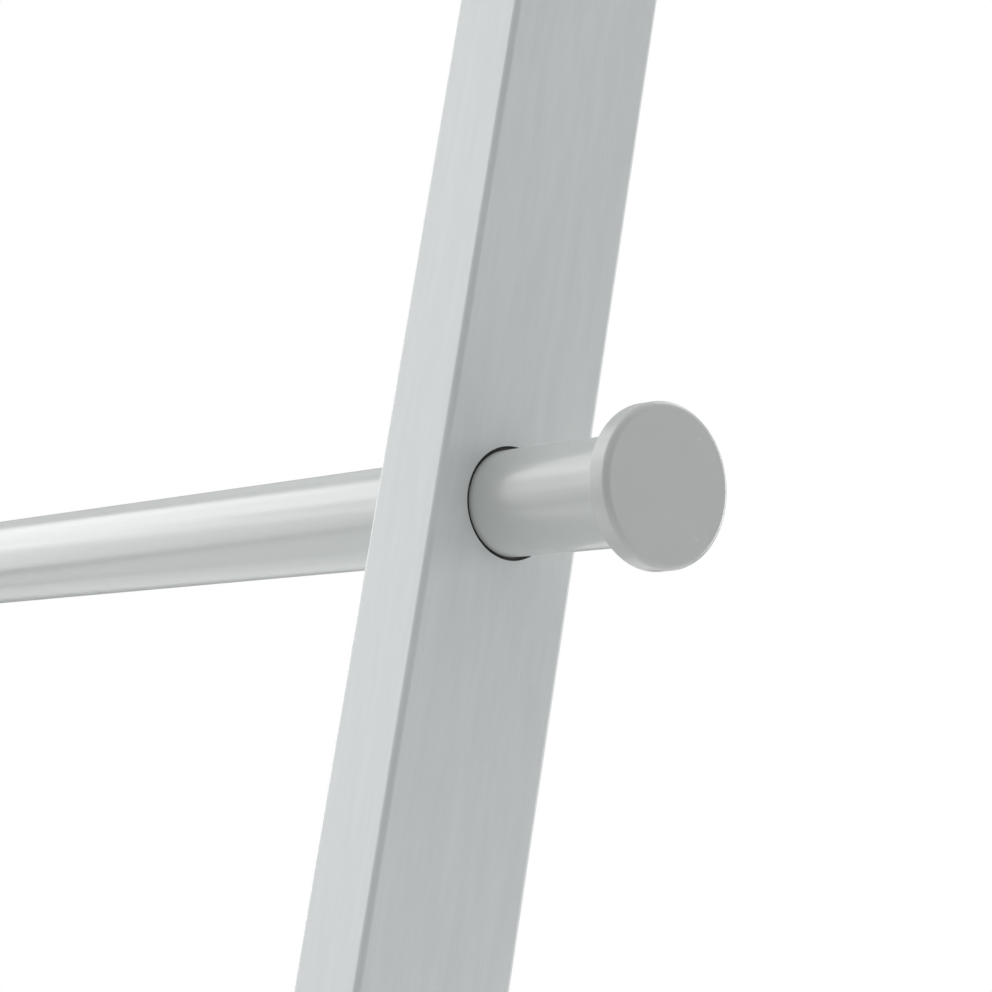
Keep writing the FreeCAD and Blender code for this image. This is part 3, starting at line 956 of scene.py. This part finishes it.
@dataclass
class WoodScrew:
    """A round-headed wood screw with a cross recess; its X is the way it is driven, from under its head."""

    length: float
    shank: float = 2 * MM
    tip: float = 4 * MM
    head: float = 4 * MM
    head_thick: float = 2.2 * MM
    head_flat: float = 2.4 * MM
    head_steps: int = 6
    recess_reach: float = 1.9 * MM
    recess_width: float = 0.75 * MM
    recess_depth: float = 1.3 * MM

    def mesh(self) -> bpy.types.Mesh:
        """The turned screw less its cross recess.

        Returns:
            Its mesh, in the screw's own frame.
        """
        rise, run = self.head_thick / 2, self.head - self.head_flat
        profile: Profile = [(self.length, 0.0), (self.length - self.tip, self.shank), (0.0, self.shank),
                            (0.0, self.head)]
        for i in range(self.head_steps + 1):
            angle = math.radians(90 * i / self.head_steps)
            profile.append((-rise - rise * math.sin(angle), self.head_flat + run * math.cos(angle)))
        profile.append((-self.head_thick, 0.0))
        body = lathe(profile, Facets.SCREW)
        for turn in (0.0, math.pi / 2):
            blade = to_mesh(extrude(rectangle(self.recess_reach, self.recess_width / 2), self.recess_depth))
            middle = Matrix.Translation((-self.head_thick, 0.0, 0.0)) @ Matrix.Rotation(turn, 4, "X")
            body = cut(body, [placed(blade, middle)])
        return body


@dataclass
class RubberPad:
    """A rubber block with rounded corners and a stepped screw hole; its X runs through its thickness."""

    half_y: float
    half_z: float
    thick: float = 4 * MM
    corner: float = 1 * MM
    head_hole: float = 4.3 * MM
    shank_hole: float = 2.05 * MM
    head_seat: float = 1 * MM
    edge: float = 0.35 * MM

    def mesh(self) -> bpy.types.Mesh:
        """The block with its rounded corners and its hole.

        Returns:
            Its mesh, its outer face at X 0 and the face on the post at its thickness.
        """
        work = extrude(rectangle(self.half_y, self.half_z), self.thick / 2)
        round_edges(work, lambda edge: abs(edge.verts[0].co.x - edge.verts[1].co.x) > MM, self.corner, 5)
        block = placed(to_mesh(work), Matrix.Translation((self.thick / 2, 0.0, 0.0)))
        seat = self.thick - self.head_seat
        block = cut(block, [rod(self.head_hole, -MM, seat, Axis.X, Vector(), Facets.SCREW)])
        block = cut(block, [rod(self.shank_hole, 0.0, self.thick + MM, Axis.X, Vector(), Facets.SHANK)])
        return even_shading(broken_edges(block, self.edge, 3))


@dataclass
class PostEnds:
    """What is fixed to a post's ends: foot, wall bumper, wall bracket and their screws."""

    layout: Layout
    side: Side
    steel: float = 2 * MM
    leg: float = 26 * MM
    height: float = 34 * MM
    leg_corner: float = 4 * MM
    bend_inside: float = 1 * MM
    bend_outside: float = 3 * MM
    wall_hole: float = 2.5 * MM
    wall_hole_in: float = 15 * MM
    side_hole: float = 2.05 * MM
    side_hole_in: float = 17 * MM
    side_hole_up: float = 10 * MM
    side_reach: float = 5 * MM
    long_screw: float = 25 * MM
    short_screw: float = 12 * MM
    edge: float = 0.25 * MM

    def bracket_mesh(self) -> bpy.types.Mesh:
        """The angle, with one leg to the inner side along the wall and one to the front along the post.

        Returns:
            Its mesh in the row frame's directions, its corner at the origin.
        """
        inwards = -self.side.value
        leg, steel = self.leg, self.steel
        work = extrude([(0.0, 0.0), (0.0, -leg), (inwards * steel, -leg), (inwards * steel, -steel),
                        (inwards * leg, -steel), (inwards * leg, 0.0)], self.height / 2)
        work.transform(UPRIGHT)
        bmesh.ops.recalc_face_normals(work, faces=work.faces)

        def is_bend(edge: bmesh.types.BMEdge, x: float, y: float) -> bool:
            return all(abs(v.co.x - x) < NEAR and abs(v.co.y - y) < NEAR for v in edge.verts)

        round_edges(work, lambda edge: is_bend(edge, 0.0, 0.0), self.bend_outside, 8)
        round_edges(work, lambda edge: is_bend(edge, inwards * steel, -steel), self.bend_inside, 6)

        def is_leg_corner(edge: bmesh.types.BMEdge) -> bool:
            first, last = (vertex.co for vertex in edge.verts)
            at_side_end = all(abs(end.y + leg) < NEAR for end in (first, last))
            at_wall_end = all(abs(end.x - inwards * leg) < NEAR for end in (first, last))
            across_side = at_side_end and abs(first.x - last.x) > steel / 2
            across_wall = at_wall_end and abs(first.y - last.y) > steel / 2
            return across_side or across_wall

        round_edges(work, is_leg_corner, self.leg_corner, 8)
        angle = to_mesh(work)
        at = Vector((inwards * self.wall_hole_in, 0.0, 0.0))
        holes = [rod(self.wall_hole, -2 * leg, leg, Axis.Y, at, Facets.SCREW)]
        for step in (-1, 1):
            at = Vector((0.0, -self.side_hole_in, step * self.side_hole_up))
            holes.append(rod(self.side_hole, -self.side_reach, self.side_reach, Axis.X, at, Facets.SHANK))
        return even_shading(broken_edges(cut(angle, holes), self.edge))

    def build(self) -> None:
        """Makes the foot, the bumper, the bracket and their screws."""
        word, stand = self.side.word, self.layout.stand
        low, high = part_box(f"foot_{word}")
        middle, half = (low + high) / 2, (high - low) / 2
        to_top = Matrix.Rotation(-math.pi / 2, 4, "Y")
        foot = RubberPad(half.y, half.x)
        place = Matrix.Translation((middle.x, middle.y, low.z)) @ to_top
        make_piece(f"foot_{word}", "rubber", foot.mesh(), Finishes.RUBBER, place, stand)
        seat = Matrix.Translation((middle.x, middle.y, high.z - foot.head_seat)) @ to_top
        long_screw = even_shading(WoodScrew(self.long_screw).mesh())
        make_piece(f"foot_screw_{word}", "steel", long_screw, Finishes.SCREW, seat, stand)

        low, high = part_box(f"wall_bumper_{word}")
        middle, half = (low + high) / 2, (high - low) / 2
        to_front = Matrix.Rotation(-math.pi / 2, 4, "Z")
        bumper = RubberPad(half.x, half.z)
        place = Matrix.Translation((middle.x, high.y, middle.z)) @ to_front
        make_piece(f"wall_bumper_{word}", "rubber", bumper.mesh(), Finishes.RUBBER, place, stand)
        seat = Matrix.Translation((middle.x, low.y + bumper.head_seat, middle.z)) @ to_front
        make_piece(f"bumper_screw_{word}", "steel", long_screw.copy(), Finishes.SCREW, seat, stand)

        low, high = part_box(f"wall_bracket_{word}")
        outer = high.x if self.side is Side.RIGHT else low.x
        corner = Matrix.Translation((outer, high.y, (low.z + high.z) / 2))
        make_piece(f"wall_bracket_{word}", "steel", self.bracket_mesh(), Finishes.BRACKET, corner, stand)
        outwards = Matrix.Rotation(0.0 if self.side is Side.RIGHT else math.pi, 4, "Z")
        short_screw = WoodScrew(self.short_screw).mesh()
        screws = []
        for step in (-1, 1):
            head_seat = Vector((-self.side.value * self.steel, -self.side_hole_in, step * self.side_hole_up))
            screws.append(placed(short_screw.copy(), Matrix.Translation(head_seat) @ outwards))
        pair = even_shading(joined(screws))
        make_piece(f"bracket_screws_{word}", "steel", pair, Finishes.SCREW, corner, stand)


# The studio


@dataclass
class SoftBox:
    """A soft round light that the camera doesn't see."""

    name: str
    azimuth: float
    elevation: float
    distance: float
    size: float
    watts: float

    def build(self, target: Vector) -> None:
        """Hangs the light round a target and points it there.

        Args:
            target: The point it looks at.
        """
        data = bpy.data.lights.new(self.name, "AREA")
        data.shape = "DISK"
        data.size = self.size
        data.energy = self.watts
        lamp = bpy.data.objects.new(self.name, data)
        bpy.context.scene.collection.objects.link(lamp)
        turn, rise = math.radians(self.azimuth), math.radians(self.elevation)
        way = Vector((math.sin(turn) * math.cos(rise), -math.cos(turn) * math.cos(rise), math.sin(rise)))
        lamp.location = target + way * self.distance
        lamp.rotation_euler = (-way).to_track_quat("-Z", "Y").to_euler()
        lamp.visible_camera = False


@dataclass
class Studio:
    """White room light, soft boxes, a pale floor and the camera."""

    layout: Layout
    world_top: float = 1.10
    floor_half: float = 3.0
    lens: float = 88.59
    yaw: float = 50.17
    pitch: float = 6.01
    roll: float = 0.30
    sensor: float = 36.0
    clip: tuple[float, float] = (0.01, 50.0)
    seen_rail: int = 4
    camera_from_joint: Triple = (0.3444, -0.2911, -0.0461)
    boxes: list[SoftBox] = field(default_factory=lambda: [
        SoftBox("left box", -78, 22, 6.0, 3.4, 40),
        SoftBox("upper left box", -71, 34, 6.0, 3.4, 42),
        SoftBox("low left box", -90, 2, 6.0, 3.4, 104),
        SoftBox("left front box", -65, 2, 6.0, 3.4, 63),
        SoftBox("front box", -52, 22, 6.0, 3.4, 40),
        SoftBox("back box", 180, 45, 6.0, 3.4, 64),
        SoftBox("low back box", 167, 2, 6.0, 3.4, 138),
        SoftBox("low right box", 120, -18, 3.0, 1.7, 6.5),
    ])

    def joint(self) -> Vector:
        """Where the rail that is looked at leaves the right post."""
        axis = self.layout.rails[self.seen_rail - 1]
        return Vector((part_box("post_right")[1].x, axis.y, axis.z))

    def build_world(self) -> None:
        """White to the camera; as light brightest overhead and dimmer towards the ground."""
        world = bpy.data.worlds.new("white room")
        bpy.context.scene.world = world
        world.use_nodes = True
        nodes = Nodes(world.node_tree)
        world.node_tree.nodes.clear()
        seen = nodes.add("ShaderNodeBackground", {"Color": WHITE, "Strength": 1.0})
        way = nodes.add("ShaderNodeTexCoord").outputs["Generated"]
        rising = nodes.add("ShaderNodeVectorMath", {0: way, 1: (0.0, 0.0, 1.0)}, operation="DOT_PRODUCT")
        overhead = nodes.math("POWER", nodes.remap(rising.outputs["Value"], -1.0, 1.0, 0.0, 1.0), 2.0)
        strength = nodes.math("MULTIPLY", overhead, self.world_top)
        light = nodes.add("ShaderNodeBackground", {"Color": WHITE, "Strength": strength})
        path = nodes.add("ShaderNodeLightPath")
        mix = nodes.add("ShaderNodeMixShader", {0: path.outputs["Is Camera Ray"], 1: light.outputs[0],
                                                2: seen.outputs[0]})
        nodes.add("ShaderNodeOutputWorld", {"Surface": mix.outputs[0]})

    def build_floor(self) -> None:
        """A pale matt floor just under the feet."""
        work = bmesh.new()
        corners = rectangle(self.floor_half, self.floor_half)
        work.faces.new([work.verts.new((x, y, 0.0)) for x, y in corners])
        floor = bpy.data.objects.new("studio_floor", to_mesh(work))
        bpy.context.scene.collection.objects.link(floor)
        floor.data.materials.append(Finishes.FLOOR.material())

    def build_camera(self) -> None:
        """The camera, close to the joint and a little below it."""
        data = bpy.data.cameras.new("camera")
        data.lens = self.lens
        data.sensor_width = self.sensor
        data.clip_start, data.clip_end = self.clip
        camera = bpy.data.objects.new("camera", data)
        bpy.context.scene.collection.objects.link(camera)
        camera.location = self.joint() + Vector(self.camera_from_joint)
        yaw, pitch = math.radians(self.yaw), math.radians(self.pitch)
        ahead = Vector((-math.sin(yaw) * math.cos(pitch), math.cos(yaw) * math.cos(pitch), math.sin(pitch)))
        turn = ahead.to_track_quat("-Z", "Y") @ Quaternion((0.0, 0.0, 1.0), math.radians(self.roll))
        camera.rotation_euler = turn.to_euler()
        bpy.context.scene.camera = camera

    def build(self) -> None:
        """Sets up the whole studio."""
        bpy.context.scene.view_settings.view_transform = "Standard"
        self.build_world()
        self.build_floor()
        for box in self.boxes:
            box.build(self.joint())
        self.build_camera()


def main() -> None:
    """Builds the rack and the studio."""
    logging.basicConfig(level=logging.INFO, format="%(name)s: %(message)s")
    layout = Layout()
    for side in Side:
        Post(layout, side).build()
        PostEnds(layout, side).build()
    for number in layout.rail_numbers:
        RailUnit(layout, number).build()
    Studio(layout).build()


if __name__ == "__main__":
    main()
